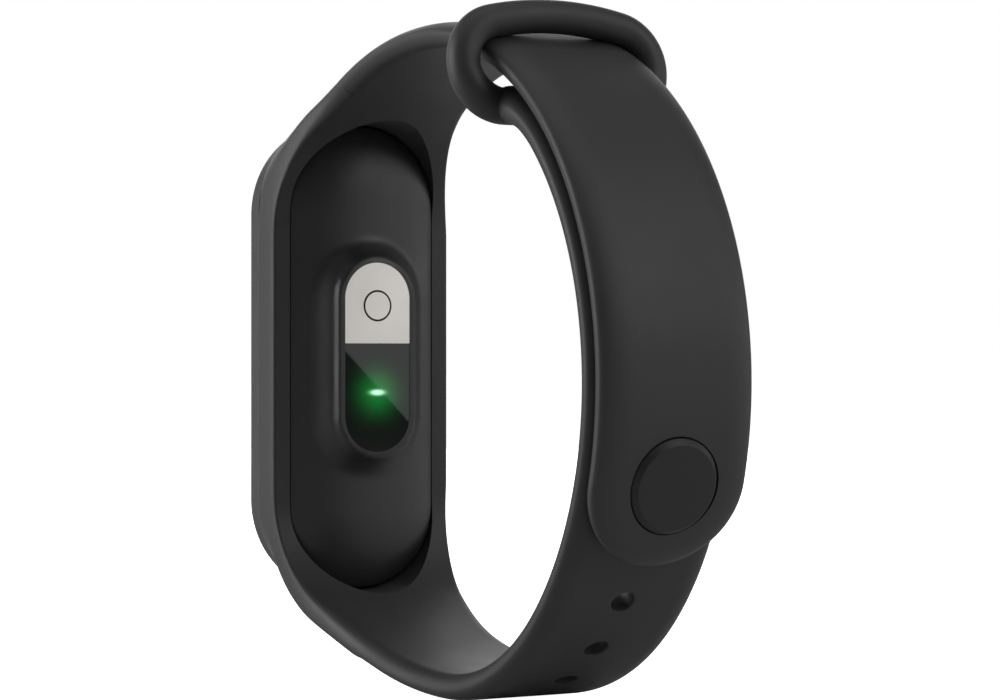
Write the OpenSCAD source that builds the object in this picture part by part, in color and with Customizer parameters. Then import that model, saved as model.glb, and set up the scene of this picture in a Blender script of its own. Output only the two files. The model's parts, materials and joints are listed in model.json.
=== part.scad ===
// Closed fitness tracker band: a capsule-shaped tracker held in a soft strap, shut by a stud.
// The wrist passes along Y. The tracker is at -X with its display facing -X, the clasp is at +X,
// and +Z runs up the tracker. The origin is in the middle of the wrist opening.
// The strap follows circular arcs in the XZ plane that run smoothly into each other.

/* [Tracker] */
// Width of the tracker's front, across the strap
pod_wide = 19.0; // [18.7:0.1:19.2]
// Length of the tracker's front, along the strap
pod_long = 47.8; // [47.4:0.1:48.2]
// Thickness of the cover glass at its middle
glass_thick = 1.05; // [0.9:0.05:1.2]
// Length of the sensor window
window_long = 18.9; // [17:0.1:20]
// Width of the sensor window
window_wide = 7.2; // [6.6:0.1:7.3]

/* [Strap] */
// Thickness of the silicone
strap_thick = 2.45; // [2.35:0.05:2.5]
// Width of the lower strap, which has the holes
lower_wide = 14.7; // [14.2:0.1:15]
// Width of the upper strap and its tail
upper_wide = 15.2; // [14.8:0.1:15.4]
// Radius of the clasp side, to the inner face of the lower strap
clasp_r = 27.7; // [27.6:0.05:27.8]
// Gap between the tail and the lower strap beneath it
strap_gap = 0.2; // [0.15:0.05:0.3]
// Thickness of the keeper loop's round bar
loop_bar_d = 2.86; // [2.8:0.02:2.92]

/* [Stud and holes] */
// Diameter of the stud's cap
cap_d = 8.4; // [8:0.1:9]
// Angle of the stud below the level of the clasp side's centre
stud_drop = 15.4; // [15:0.1:16]
// Diameter of a free hole
hole_d = 2.2; // [1.8:0.1:2.4]
// Distance from hole to hole along the strap
hole_pitch = 5.95; // [5.8:0.05:6.1]
// Diameter of the stud's neck
neck_d = 2.0; // [1.6:0.1:2.2]
// Diameter of the stud's head
head_d = 2.8; // [2.4:0.1:2.8]

/* [Hidden] */
$fn = 96;

// Side profile of the strap: every arc is tangent to the next one
clasp_c = [-0.7, -2.0];
seat_x = -27.0;
corner_r = 10.5;
heel_r = 24.1;
heel_a = -45;
heel_c = clasp_c + (clasp_r - heel_r) * [cos(heel_a), sin(heel_a)];
sole_r = 55;
sole_c = heel_c + [0, sole_r - heel_r];
sole_a = asin((sole_c[0] - seat_x - corner_r) / (sole_r - corner_r));
sole_corner = [seat_x + corner_r, sole_c[1] - (sole_r - corner_r) * cos(sole_a)];
upper_r = clasp_r + strap_thick + strap_gap;
crown_r = 40.7;
crown_c = clasp_c - [0, crown_r - upper_r];
crown_a = asin((crown_c[0] - seat_x - corner_r) / (crown_r - corner_r));
crown_corner = [seat_x + corner_r, crown_c[1] + (crown_r - corner_r) * cos(crown_a)];
crown_root_a = 22;
sole_root_a = 18;
far_out = 70;

// The lower strap's end curls in to the keeper loop's inner bar
curl_a = 45;
curl_r = 14;
curl_c = clasp_c + (clasp_r - curl_r) * [cos(curl_a), sin(curl_a)];
curl_end_a = 76.6;

// The loop is a flat ring of round bar with its inner bar at loop_c, leaning a little
loop_c = [12.44, 22.27];
loop_lean = 8.2;
loop_bar_r = loop_bar_d / 2;
loop_half = 5.9;
loop_bend_r = 4.2;

// Stud, tail and holes
stud_a = -stud_drop;
tail_top_a = 15;
tail_tip_a = stud_a - 16;
mid_r = clasp_r + strap_thick / 2;
heel_mid_r = heel_r + strap_thick / 2;
first_hole = -4;
last_hole = 5;
stretched_hole_d = 3.2;
cap_base_r = upper_r + 1.1;
cap_top_r = upper_r + strap_thick + 0.4;
cap_bevel = 0.5;
cap_gap = 0.1;
head_r_in = clasp_r - 0.85;
head_r_out = clasp_r - 0.15;

// Pocket for the tracker
lip_x = -31.1;
rim_r = pod_wide / 2 + 0.35;
pod_spine = pod_long - pod_wide;
opening_r = 8.0;
opening_spine = 30.8;
root_x = -15;

// Depths through the tracker, all along X
glass_back_x = -33.05;
frame_front_x = -32.95;
shell_front_x = -31.15;
shell_back_x = -25.3;
shell_edge_r = 2.1;
shell_r = 7.85;
shell_spine = 30.0;
cavity_r = 6.95;
cavity_back_x = -26.3;
window_face_x = -23.5;
window_ledge_x = -24.0;
window_r = window_wide / 2;
window_spine = window_long - window_wide;
window_rim = 0.5;
plate_low_z = 1.4;
disc_r = 1.45;
disc_z = 5.15;
hair = 0.05;
panel_back_x = -31.85;
panel_half = [6.0, 12.75];
panel_z = 2.0;
board_front_x = -31.5;
board_back_x = -30.8;
board_low_z = -12;
board_r = 6.3;
chip_tall = 0.8;
chip_places = [[-3.6, 12.4], [1.6, 10.6], [2.4, 12.6], [4.6, 12.9]];
chip_sizes = [[2.2, 2.2], [1.5, 0.8], [1.0, 0.5], [0.9, 1.6]];
touch_pad_r = 3.0;
touch_pad_z = -17.0;
foil_thick = 0.15;
antenna_r = 5.9;
antenna_turn = 120;
antenna_deep = 2.2;
battery_back_x = -27.35;
tape_thick = 0.15;
tape_z = [-11, 8];
tape_half_y = 4;
battery_z = [-11.8, 9.0];
battery_half_y = 5.9;
tab_thick = 0.15;
tab_wide = 1.8;
tab_low_y = [-3.4, 1.6];
tab_step = 0.8;
tab_drop = 1.4;
motor_z = -17.2;
motor_r = 4.0;
motor_wall = 0.25;
motor_floor_x = -26.5;
motor_lid_x = -29.05;
shaft_r = 0.4;
shaft_gap = 0.05;
led_z = -3.5;
led_low_y = [-1.25, 0.25];
led_size = [0.9, 1.0, 0.8];
diode_size = [0.7, 2.2, 2.0];
diode_z = -6.2;
sensor_board_x = [-27.1, -26.5];
sensor_board_half_y = 4.4;
sensor_board_z = [-9.5, 8.5];
barrier_half_y = 2.0;
barrier_wall = 0.35;
barrier_z = [-8.0, 0.6];
diode_cell_z = [-7.5, -4.8];
lamp_cell_z = [-4.4, 0.2];
contact_y = 2.5;
contact_x = -29.3;
contact_r = 0.9;
contact_low_z = -22.3;
contact_long = 1.4;

silicone = [0.09, 0.09, 0.10];
black_plastic = [0.06, 0.06, 0.07];
steel = [0.75, 0.74, 0.72];
gold = [0.83, 0.66, 0.28];
board_green = [0.08, 0.32, 0.18];

// ---- helpers ----

// A flat outline in X and Z made into a slab across the strap
module across(wide) {
    rotate([90, 0, 0]) linear_extrude(height = wide, center = true) children();
}

// Part of a disc about c, between two angles less than 120 degrees apart
module wedge(c, r, a0, a1) {
    middle = (a0 + a1) / 2;
    intersection() {
        translate(c) circle(r = r);
        polygon([for (p = [[0, 0], [3 * r, a0], [3 * r, middle], [3 * r, a1]])
                 c + p[0] * [cos(p[1]), sin(p[1])]]);
    }
}

// Stands children at angle a about c, with their +Z pointing out of the ring
module on_arc(c, a) {
    translate([c[0], 0, c[1]]) rotate([0, 90 - a, 0]) children();
}

// Cross-section of the strap with round edges, its inner face at radius r
module strap_section(r, wide) {
    edge = strap_thick / 2;
    translate([r, edge - wide / 2]) square([strap_thick, wide - 2 * edge]);
    for (side = [-1, 1])
        translate([r + edge, side * (wide / 2 - edge)]) circle(r = edge);
}

// A stretch of strap bent about c, from angle a0 to a1
module strap_arc(c, r, wide, a0, a1) {
    translate([c[0], 0, c[1]])
        rotate([90, 0, 0])
            rotate_extrude(start = a0, angle = a1 - a0) strap_section(r, wide);
}

// A solid with a capsule outline. The child is half its profile: x runs out from the
// outline's spine, and y is the place along X
module capsule(spine) {
    rotate([90, 0, 90]) {
        for (side = [0, 1])
            translate([0, (0.5 - side) * spine, 0])
                rotate_extrude(start = 180 * side, angle = 180) children();
        rotate([90, 0, 0]) linear_extrude(height = spine, center = true) {
            children();
            mirror([1, 0]) children();
        }
    }
}

// A flat capsule plate from x0 to x1
module plate(spine, r, x0, x1) {
    capsule(spine) translate([0, x0]) square([r, x1 - x0]);
}

// A box from its two corners
module block(low, high) {
    translate(low) cube(high - low);
}

// A cylinder along X
module disc_x(r, x0, x1, z) {
    translate([x0, 0, z]) rotate([0, 90, 0]) cylinder(r = r, h = x1 - x0);
}

// ---- strap ----

// The wrist opening's outline on the tracker's side, grown outwards
module wrist_side(grow) {
    translate([seat_x - grow, sole_corner[1]])
        square([grow - seat_x, crown_corner[1] - sole_corner[1]]);
    translate(crown_corner) circle(r = corner_r + grow);
    translate(sole_corner) circle(r = corner_r + grow);
    wedge(crown_c, crown_r + grow, 90, 90 + crown_a);
    wedge(sole_c, sole_r + grow, -90 - sole_a, -90);
}

// The strap's outline seen along Z: broad at the tracker, narrower away from it
module root_plan() {
    half = [[lip_x, 9.3], [seat_x, 9.3], [-24, 8.6], [-20.4, 8.0],
            [root_x - 1, upper_wide / 2], [0, upper_wide / 2]];
    polygon(concat([for (p = half) p], [for (i = [len(half) - 1:-1:0]) [half[i][0], -half[i][1]]]));
}

// Smooth shoulder between the tracker's rounded end and the strap. side is 1 above, -1 below
module shoulder(side) {
    c = side > 0 ? crown_c : sole_c;
    r = (side > 0 ? crown_r : sole_r) + strap_thick;
    root_a = side > 0 ? crown_root_a : sole_root_a;
    bead_r = 0.6;
    bead_long = 12.6;
    buried = 0.25;
    hull() {
        disc_x(rim_r - 0.15, lip_x, lip_x + 0.8, side * pod_spine / 2, $fn = 32);
        on_arc(c, side * (90 + root_a + 1))
            translate([0, 0, r - bead_r - buried])
                rotate([90, 0, 0]) cylinder(r = bead_r, h = bead_long, center = true, $fn = 32);
    }
}

module pocket_frame() {
    color(silicone) difference() {
        union() {
            intersection() {
                across(2 * rim_r) difference() {
                    wrist_side(strap_thick);
                    wedge(crown_c, far_out, 90, 90 + crown_root_a);
                    wedge(sole_c, far_out, -90 - sole_root_a, -90);
                    translate([-5, -far_out]) square([far_out, 2 * far_out]);
                }
                linear_extrude(height = 2 * far_out, center = true) root_plan();
            }
            plate(pod_spine, rim_r, lip_x, root_x - 6);
            shoulder(1);
            shoulder(-1);
        }
        across(3 * rim_r) wrist_side(0);
        plate(opening_spine, opening_r, lip_x - 1, root_x);
    }
}

module upper_strap() {
    color(silicone) {
        strap_arc(crown_c, crown_r, upper_wide, 90, 90 + crown_root_a);
        strap_arc(clasp_c, upper_r, upper_wide, tail_top_a, 90);
    }
}

// Where hole k is, as its arc's centre and its angle. Hole 0 holds the stud
function hole_turn(k) = stud_a - k * hole_pitch / mid_r * 180 / PI;
function hole_place(k) = hole_turn(k) > heel_a ? [clasp_c, hole_turn(k)]
    : [heel_c, heel_a + (hole_turn(k) - heel_a) * mid_r / heel_mid_r];

module lower_strap() {
    color(silicone) difference() {
        union() {
            strap_arc(sole_c, sole_r, lower_wide, -90 - sole_root_a, -90);
            strap_arc(heel_c, heel_r, lower_wide, -90, heel_a);
            strap_arc(clasp_c, clasp_r, lower_wide, heel_a, curl_a);
            strap_arc(curl_c, curl_r, lower_wide, curl_a, curl_end_a);
        }
        for (k = [first_hole:last_hole])
            on_arc(hole_place(k)[0], hole_place(k)[1])
                translate([0, 0, heel_r - 2])
                    cylinder(d = k == 0 ? stretched_hole_d : hole_d, h = 4 * strap_thick);
        loop_ring();
    }
}

// Two straight bars joined by two half rings, standing across the strap on loop_c
module loop_ring() {
    translate([loop_c[0], 0, loop_c[1]]) rotate([0, -loop_lean, 0]) rotate([90, 0, 90]) {
        for (side = [0, 1])
            translate([0, 2 * side * loop_bend_r, 0])
                rotate([0, 90, 0]) cylinder(r = loop_bar_r, h = 2 * loop_half, center = true);
        for (side = [0, 1])
            translate([(1 - 2 * side) * loop_half, loop_bend_r, 0])
                rotate_extrude(start = 180 * side - 90, angle = 180)
                    translate([loop_bend_r, 0]) circle(r = loop_bar_r);
    }
}

module keeper_loop() {
    color(silicone) loop_ring();
}

module strap_tail() {
    color(silicone) difference() {
        union() {
            strap_arc(clasp_c, upper_r, upper_wide, stud_a, tail_top_a);
            intersection() {
                strap_arc(clasp_c, upper_r, upper_wide, tail_tip_a, stud_a);
                on_arc(clasp_c, stud_a) cylinder(d = upper_wide, h = far_out);
            }
        }
        on_arc(clasp_c, stud_a) {
            translate([0, 0, cap_base_r]) cylinder(r = cap_d / 2 + cap_gap, h = 2 * strap_thick);
            translate([0, 0, upper_r - 1]) cylinder(d = neck_d, h = strap_thick);
        }
    }
}

module stud_cap() {
    color(black_plastic) on_arc(clasp_c, stud_a) {
        translate([0, 0, cap_base_r]) cylinder(d = cap_d, h = cap_top_r - cap_bevel - cap_base_r);
        translate([0, 0, cap_top_r - cap_bevel])
            cylinder(d1 = cap_d, d2 = cap_d - 2 * cap_bevel, h = cap_bevel);
    }
}

module stud_post() {
    color(black_plastic) on_arc(clasp_c, stud_a) {
        translate([0, 0, head_r_in]) cylinder(d = head_d, h = head_r_out - head_r_in);
        translate([0, 0, head_r_out]) cylinder(d = neck_d, h = cap_base_r - head_r_out);
    }
}

// ---- tracker case ----

module cover_glass() {
    edge = glass_thick * 0.8;
    r = pod_wide / 2 - 0.2;
    front_x = glass_back_x - glass_thick;
    color([0.02, 0.02, 0.03]) capsule(pod_spine) {
        translate([0, front_x]) square([r - edge, glass_thick]);
        translate([0, front_x + edge]) square([r, glass_thick - edge]);
        intersection() {
            translate([r - edge, front_x + edge]) circle(r = edge);
            translate([0, front_x]) square([r, glass_thick]);
        }
    }
}

module glass_adhesive() {
    color([0.15, 0.15, 0.15]) difference() {
        plate(pod_spine, pod_wide / 2 - 0.4, glass_back_x, frame_front_x);
        plate(pod_spine, pod_wide / 2 - 2.0, glass_back_x - 1, frame_front_x + 1);
    }
}

// Capsule ring that seals the shell against the frame, and the groove it sits in
module seal_band() {
    capsule(shell_spine) translate([cavity_r + 0.2, shell_front_x - 0.25]) square([0.5, 0.25]);
}

module front_frame() {
    color(black_plastic) difference() {
        plate(pod_spine, pod_wide / 2, frame_front_x, shell_front_x);
        plate(pod_spine, cavity_r + 0.1, frame_front_x - 1, shell_front_x + 1);
        seal_band();
    }
}

module seal_ring() {
    color([0.3, 0.3, 0.32]) seal_band();
}

module back_shell() {
    fillet = window_face_x - shell_back_x;
    boss_r = window_r + window_rim;
    shell_deep = shell_back_x - shell_front_x;
    cavity_deep = cavity_back_x - shell_front_x;
    color(black_plastic) difference() {
        union() {
            capsule(shell_spine) {
                translate([0, shell_front_x]) square([shell_r, shell_deep - shell_edge_r]);
                translate([0, shell_front_x]) square([shell_r - shell_edge_r, shell_deep]);
                translate([shell_r - shell_edge_r, shell_back_x - shell_edge_r]) circle(r = shell_edge_r);
            }
            capsule(window_spine) difference() {
                translate([0, cavity_back_x]) square([boss_r + fillet, window_face_x - cavity_back_x]);
                translate([boss_r + fillet, shell_back_x + fillet]) circle(r = fillet);
            }
        }
        capsule(shell_spine) translate([0, shell_front_x - 1]) square([cavity_r, cavity_deep + 1]);
        plate(window_spine, window_r, window_ledge_x, window_face_x + 1);
        plate(window_spine, window_r - 0.55, cavity_back_x - 1, window_face_x);
        contact_pins();
    }
}

module window_glass() {
    color([0.02, 0.03, 0.03]) intersection() {
        plate(window_spine, window_r, window_ledge_x, window_face_x - hair);
        block([window_ledge_x, -window_wide, -window_long], [window_face_x, window_wide, plate_low_z]);
    }
}

module sensor_plate() {
    color(steel) difference() {
        plate(window_spine, window_r, window_ledge_x, window_face_x - hair / 2);
        block([window_ledge_x - 1, -window_wide, -window_long],
              [window_face_x + 1, window_wide, plate_low_z]);
        disc_x(disc_r + hair, window_ledge_x - 1, window_face_x + 1, disc_z);
    }
}

module electrode_disc() {
    color(steel) disc_x(disc_r, window_ledge_x, window_face_x, disc_z);
}

// ---- display ----

module display_panel() {
    color([0.05, 0.05, 0.07])
        block([glass_back_x, -panel_half[0], panel_z - panel_half[1]],
              [panel_back_x, panel_half[0], panel_z + panel_half[1]]);
}

// Thin ribbon from the panel's lower end, folded round the board's edge to its back
module display_flex() {
    film = 0.12;
    half_y = 3.0;
    front_x = -32.4;
    fold_r = (board_back_x + film - front_x) / 2;
    fold_z = board_low_z - 0.4;
    panel_low_z = panel_z - panel_half[1];
    color([0.75, 0.45, 0.12]) {
        block([front_x, -half_y, fold_z], [front_x + film, half_y, panel_low_z]);
        translate([front_x + fold_r, 0, fold_z])
            rotate([90, 0, 0])
                rotate_extrude(start = 180, angle = 180)
                    translate([fold_r - film, -half_y]) square([film, 2 * half_y]);
        block([board_back_x, -half_y, fold_z], [board_back_x + film, half_y, board_low_z + 0.15]);
    }
}

module touch_pad() {
    color(gold) disc_x(touch_pad_r, glass_back_x, glass_back_x + foil_thick, touch_pad_z);
}

// ---- electronics ----

module main_board() {
    color(board_green) difference() {
        plate(shell_spine, board_r, board_front_x, board_back_x);
        block([board_front_x - 1, -cavity_r, -pod_long], [board_back_x + 1, cavity_r, board_low_z]);
    }
}

module control_chips() {
    color([0.12, 0.12, 0.13]) for (i = [0:len(chip_places) - 1]) {
        half = chip_sizes[i] / 2;
        low = chip_places[i] - half;
        translate([board_back_x, low[0], low[1]]) cube([chip_tall, 2 * half[0], 2 * half[1]]);
    }
}

// Folded metal lid over the radio, open towards the board
module shield_can() {
    can_half = [4.2, 2.2];
    can_z = 16.4;
    can_tall = 1.4;
    wall = 0.15;
    color(steel) difference() {
        block([board_back_x, -can_half[0], can_z - can_half[1]],
              [board_back_x + can_tall, can_half[0], can_z + can_half[1]]);
        block([board_back_x - 1, wall - can_half[0], can_z - can_half[1] + wall],
              [board_back_x + can_tall - wall, can_half[0] - wall, can_z + can_half[1] - wall]);
    }
}

// Bent metal strip round the inside of the tracker's top end
module antenna() {
    color(gold)
        translate([board_back_x, 0, shell_spine / 2])
            rotate([0, 90, 0]) rotate([0, 0, 90])
                rotate_extrude(start = 90 - antenna_turn / 2, angle = antenna_turn)
                    translate([antenna_r, 0]) square([2 * foil_thick, antenna_deep]);
}

module battery() {
    round_r = 1.4;
    mid_x = (board_back_x + tape_thick + battery_back_x) / 2;
    half_x = (battery_back_x - board_back_x - tape_thick) / 2;
    color([0.72, 0.72, 0.75]) {
        block([mid_x - half_x, round_r - battery_half_y, battery_z[0]],
              [mid_x + half_x, battery_half_y - round_r, battery_z[1]]);
        block([mid_x - half_x + round_r, -battery_half_y, battery_z[0]],
              [mid_x + half_x - round_r, battery_half_y, battery_z[1]]);
        for (sx = [-1, 1], sy = [-1, 1])
            translate([mid_x + sx * (half_x - round_r), sy * (battery_half_y - round_r), battery_z[0]])
                cylinder(r = round_r, h = battery_z[1] - battery_z[0]);
    }
}

module battery_tape() {
    color([0.9, 0.9, 0.85])
        block([board_back_x, -tape_half_y, tape_z[0]], [board_back_x + tape_thick, tape_half_y, tape_z[1]]);
}

// Two nickel strips from the battery's end down to the board
module battery_tabs() {
    tab_x = battery_back_x - tab_drop;
    tab_top_z = battery_z[1] + tab_step;
    color(steel) for (y = tab_low_y) {
        block([tab_x, y, battery_z[1]], [tab_x + tab_thick, y + tab_wide, tab_top_z]);
        block([board_back_x, y, tab_top_z - tab_thick], [tab_x, y + tab_wide, tab_top_z]);
    }
}

// ---- vibration motor ----

module motor_case() {
    color(steel) difference() {
        disc_x(motor_r, motor_lid_x, cavity_back_x, motor_z);
        disc_x(motor_r - motor_wall, motor_lid_x - 1, motor_floor_x, motor_z);
    }
}

module motor_cover() {
    color(steel) disc_x(motor_r, motor_lid_x - 0.2, motor_lid_x, motor_z);
}

module motor_shaft() {
    color(steel) disc_x(shaft_r, motor_lid_x, motor_floor_x, motor_z);
}

// Half disc on a hub, so its weight is to one side of the shaft
module motor_rotor() {
    front_x = motor_lid_x + 0.35;
    back_x = motor_floor_x - 0.4;
    color([0.55, 0.5, 0.45]) difference() {
        union() {
            disc_x(1.1, front_x, back_x, motor_z);
            difference() {
                disc_x(motor_r - motor_wall - 0.3, front_x + 0.3, back_x, motor_z);
                block([front_x - 1, -motor_r, motor_z], [back_x + 1, motor_r, motor_z + motor_r]);
            }
        }
        disc_x(shaft_r + shaft_gap, front_x - 1, back_x + 1, motor_z);
    }
}

// ---- heart-rate sensor ----

module sensor_board() {
    color(board_green)
        block([sensor_board_x[0], -sensor_board_half_y, sensor_board_z[0]],
              [sensor_board_x[1], sensor_board_half_y, sensor_board_z[1]]);
}

module green_leds() {
    color([0.2, 0.9, 0.4]) for (y = led_low_y)
        translate([sensor_board_x[1], y, led_z - led_size[2] / 2]) cube(led_size);
}

module photodiode() {
    color([0.12, 0.1, 0.2])
        translate([sensor_board_x[1], -diode_size[1] / 2, diode_z - diode_size[2] / 2]) cube(diode_size);
}

// Black foam frame that keeps the lamps' light out of the light sensor
module light_barrier() {
    cell_half_y = barrier_half_y - barrier_wall;
    color([0.05, 0.05, 0.05]) difference() {
        block([sensor_board_x[1], -barrier_half_y, barrier_z[0]],
              [window_ledge_x - hair, barrier_half_y, barrier_z[1]]);
        for (z = [diode_cell_z, lamp_cell_z])
            block([sensor_board_x[1] - 1, -cell_half_y, z[0]], [window_face_x, cell_half_y, z[1]]);
    }
}

// ---- charging ----

module contact_pins() {
    for (side = [-1, 1])
        translate([contact_x, side * contact_y, contact_low_z]) cylinder(r = contact_r, h = contact_long);
}

module charge_contacts() {
    color(gold) contact_pins();
}

pocket_frame();
upper_strap();
lower_strap();
keeper_loop();
strap_tail();
stud_cap();
stud_post();
cover_glass();
glass_adhesive();
front_frame();
seal_ring();
back_shell();
display_panel();
display_flex();
touch_pad();
main_board();
control_chips();
shield_can();
antenna();
battery();
battery_tape();
battery_tabs();
motor_case();
motor_cover();
motor_shaft();
motor_rotor();
sensor_board();
green_leds();
photodiode();
light_barrier();
window_glass();
sensor_plate();
electrode_disc();
charge_contacts();
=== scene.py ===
# %% [markdown]
# # A closed fitness tracker band
# A capsule-shaped tracker sits in a soft strap that is shut round the wrist: the upper strap passes
# through a keeper loop and its tail is held by a stud pressed into one of the lower strap's holes.
# The solid parts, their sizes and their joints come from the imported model. This script keeps the
# small hard parts, and works out smooth silicone skins and a moulded back for the big soft ones.

# %% Load the frame
import json
import math

import bpy
import numpy as np
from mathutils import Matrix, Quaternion, Vector


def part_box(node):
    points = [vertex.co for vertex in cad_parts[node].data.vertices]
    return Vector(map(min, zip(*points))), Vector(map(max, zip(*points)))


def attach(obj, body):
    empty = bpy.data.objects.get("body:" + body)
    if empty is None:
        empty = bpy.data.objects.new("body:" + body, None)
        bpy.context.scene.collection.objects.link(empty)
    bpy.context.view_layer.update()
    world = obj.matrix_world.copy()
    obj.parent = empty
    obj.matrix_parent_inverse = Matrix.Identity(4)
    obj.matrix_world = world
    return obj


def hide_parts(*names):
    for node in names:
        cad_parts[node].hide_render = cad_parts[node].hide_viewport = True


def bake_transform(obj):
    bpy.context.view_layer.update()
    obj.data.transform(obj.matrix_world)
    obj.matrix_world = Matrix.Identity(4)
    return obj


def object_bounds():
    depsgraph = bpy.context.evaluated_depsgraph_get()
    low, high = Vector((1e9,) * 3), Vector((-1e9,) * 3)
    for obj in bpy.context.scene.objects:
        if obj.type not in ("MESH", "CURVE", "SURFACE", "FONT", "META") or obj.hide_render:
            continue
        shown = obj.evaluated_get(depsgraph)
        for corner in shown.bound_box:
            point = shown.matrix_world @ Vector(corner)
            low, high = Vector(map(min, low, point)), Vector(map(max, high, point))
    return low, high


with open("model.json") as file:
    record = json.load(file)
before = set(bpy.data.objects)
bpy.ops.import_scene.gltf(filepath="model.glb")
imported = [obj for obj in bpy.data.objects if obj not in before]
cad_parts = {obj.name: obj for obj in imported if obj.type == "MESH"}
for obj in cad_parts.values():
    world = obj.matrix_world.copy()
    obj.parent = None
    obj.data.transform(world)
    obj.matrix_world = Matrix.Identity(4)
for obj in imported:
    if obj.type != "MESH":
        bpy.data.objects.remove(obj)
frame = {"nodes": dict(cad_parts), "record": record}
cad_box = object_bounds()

MM = 0.001
nodes = frame["nodes"]
print("nodes", len(nodes), "box in mm", [[round(x / MM, 2) for x in corner] for corner in cad_box])

# %% [markdown]
# ## Camera
# The view looks from the wrist side and the clasp side at once, level with the tracker's middle.
# A long lens keeps the ring from looking stretched, so it is set first and everything is judged by it.

# %% Camera
VIEW_TURN = math.radians(60.5)
VIEW_DISTANCE = 267.75
VIEW_AIM = (1.29, 0.0, 0.735)
LENS = 104.4

camera_data = bpy.data.cameras.new("camera")
camera_data.lens = LENS
camera_data.sensor_width = 36.0
camera_data.clip_start = 0.01
camera_data.clip_end = 20.0
camera = bpy.data.objects.new("camera", camera_data)
bpy.context.scene.collection.objects.link(camera)
back_off = Vector((math.sin(VIEW_TURN), -math.cos(VIEW_TURN), 0.0))
camera.location = (Vector(VIEW_AIM) + back_off * VIEW_DISTANCE) * MM
camera.rotation_mode = "QUATERNION"
camera.rotation_quaternion = (-back_off).to_track_quat("-Z", "Y")
bpy.context.scene.camera = camera
print("camera at", [round(x, 4) for x in camera.location])

# %% [markdown]
# ## From arrays to closed meshes
# Every new piece starts as a numpy grid of points. Two grids are enough: a tube, whose columns close
# on themselves and whose ends are capped with a fan, and a ring, which closes both ways. If the
# signed volume comes out negative the faces are turned round, so they always point outwards.

# %% Mesh helpers
SHARP = math.radians(38)


def piece_from(name, points, quads, triangles=()):
    """A mesh object from point rows and face index rows, turned so that its volume is positive."""
    points = np.asarray(points, float)
    quads = np.asarray(quads, int).reshape(-1, 4)
    triangles = np.asarray(triangles, int).reshape(-1, 3)
    fans = np.concatenate([quads[:, [0, 1, 2]], quads[:, [0, 2, 3]], triangles])
    a, b, c = points[fans[:, 0]], points[fans[:, 1]], points[fans[:, 2]]
    if np.einsum("ij,ij->i", a, np.cross(b, c)).sum() < 0:
        quads, triangles = quads[:, ::-1], triangles[:, ::-1]
    mesh = bpy.data.meshes.new(name)
    mesh.from_pydata(points.tolist(), [], quads.tolist() + triangles.tolist())
    mesh.validate()
    mesh.shade_smooth()
    mesh.set_sharp_from_angle(angle=SHARP)
    piece = bpy.data.objects.new(name, mesh)
    bpy.context.scene.collection.objects.link(piece)
    return piece


print("edges are sharp past", round(math.degrees(SHARP)), "degrees")

# %% Grids made into tubes and rings
def grid_faces(rows, columns, wrap_rows, wrap_columns):
    """Index rows for the quads between neighbouring points of a grid."""
    i = np.arange(rows if wrap_rows else rows - 1)
    j = np.arange(columns if wrap_columns else columns - 1)
    i, j = (x.ravel() for x in np.meshgrid(i, j, indexing="ij"))
    i2, j2 = (i + 1) % rows, (j + 1) % columns
    return np.stack([i * columns + j, i * columns + j2, i2 * columns + j2, i2 * columns + j], 1)


def tube_piece(name, grid):
    """A closed tube from a (rows, columns, 3) grid in millimetres, with a fan over each end."""
    rows, columns, _ = grid.shape
    points = np.concatenate([grid.reshape(-1, 3), grid[0].mean(0)[None], grid[-1].mean(0)[None]])
    j = np.arange(columns)
    k = (j + 1) % columns
    start = np.stack([np.full(columns, rows * columns), k, j], 1)
    base = (rows - 1) * columns
    end = np.stack([np.full(columns, rows * columns + 1), base + j, base + k], 1)
    quads = grid_faces(rows, columns, False, True)
    return piece_from(name, points * MM, quads, np.concatenate([start, end]))


def ring_piece(name, grid):
    """A closed ring, like a tyre, from a (rows, columns, 3) grid in millimetres."""
    rows, columns, _ = grid.shape
    return piece_from(name, grid.reshape(-1, 3) * MM, grid_faces(rows, columns, True, True))


print("a ring of 4 by 3 points has", len(grid_faces(4, 3, True, True)), "faces")

# %% [markdown]
# ## Cutting, and easing from one value to another
# Holes could be left out of the grid, but a round hole in a square grid needs many odd faces. A
# boolean cut makes a crisp round mouth instead, and its result is baked into the mesh at once, so
# that no live modifier and no cutter is left behind.

# %% Cutting and easing
def carve(piece, *cutters):
    """Takes the cutters' volume out of the piece, and removes the cutters."""
    for cutter in cutters:
        modifier = piece.modifiers.new("carve", "BOOLEAN")
        modifier.operation = "DIFFERENCE"
        modifier.solver = "EXACT"
        modifier.object = cutter
    graph = bpy.context.evaluated_depsgraph_get()
    graph.update()
    mesh = bpy.data.meshes.new_from_object(piece.evaluated_get(graph))
    piece.modifiers.clear()
    piece.data = mesh
    for cutter in cutters:
        bpy.data.objects.remove(cutter)
    mesh.shade_smooth()
    mesh.set_sharp_from_angle(angle=SHARP)
    return piece


def smooth_step(x):
    """0 below 0, 1 above 1, and an even S between them: 3 x squared less 2 x cubed."""
    x = np.clip(x, 0, 1)
    return x * x * (3 - 2 * x)


print("half way along an even S:", smooth_step(0.5))

# %% [markdown]
# ## The line of the strap
# Seen along the wrist the strap is a chain of circular arcs, each tangent to the next, with one
# straight stretch behind the tracker. A point on it is the arc's centre plus the radius times the
# outward direction, so the outward normal comes for free.

# %% Strap line
CLASP = (-0.7, -2.0)
CLASP_R = 27.7
THICK = 2.45
STRAP_GAP = 0.2
UPPER_R = CLASP_R + THICK + STRAP_GAP
SEAT_X = -27.0
CORNER_R = 10.5
HEEL_R = 24.1
SOLE_R = 55.0
CROWN_R = 40.7
CURL_R = 14.0
HEEL_TURN, CURL_TURN = -45, 45
CROWN_ROOT = 22.0
SOLE_ROOT = 18.0


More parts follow.
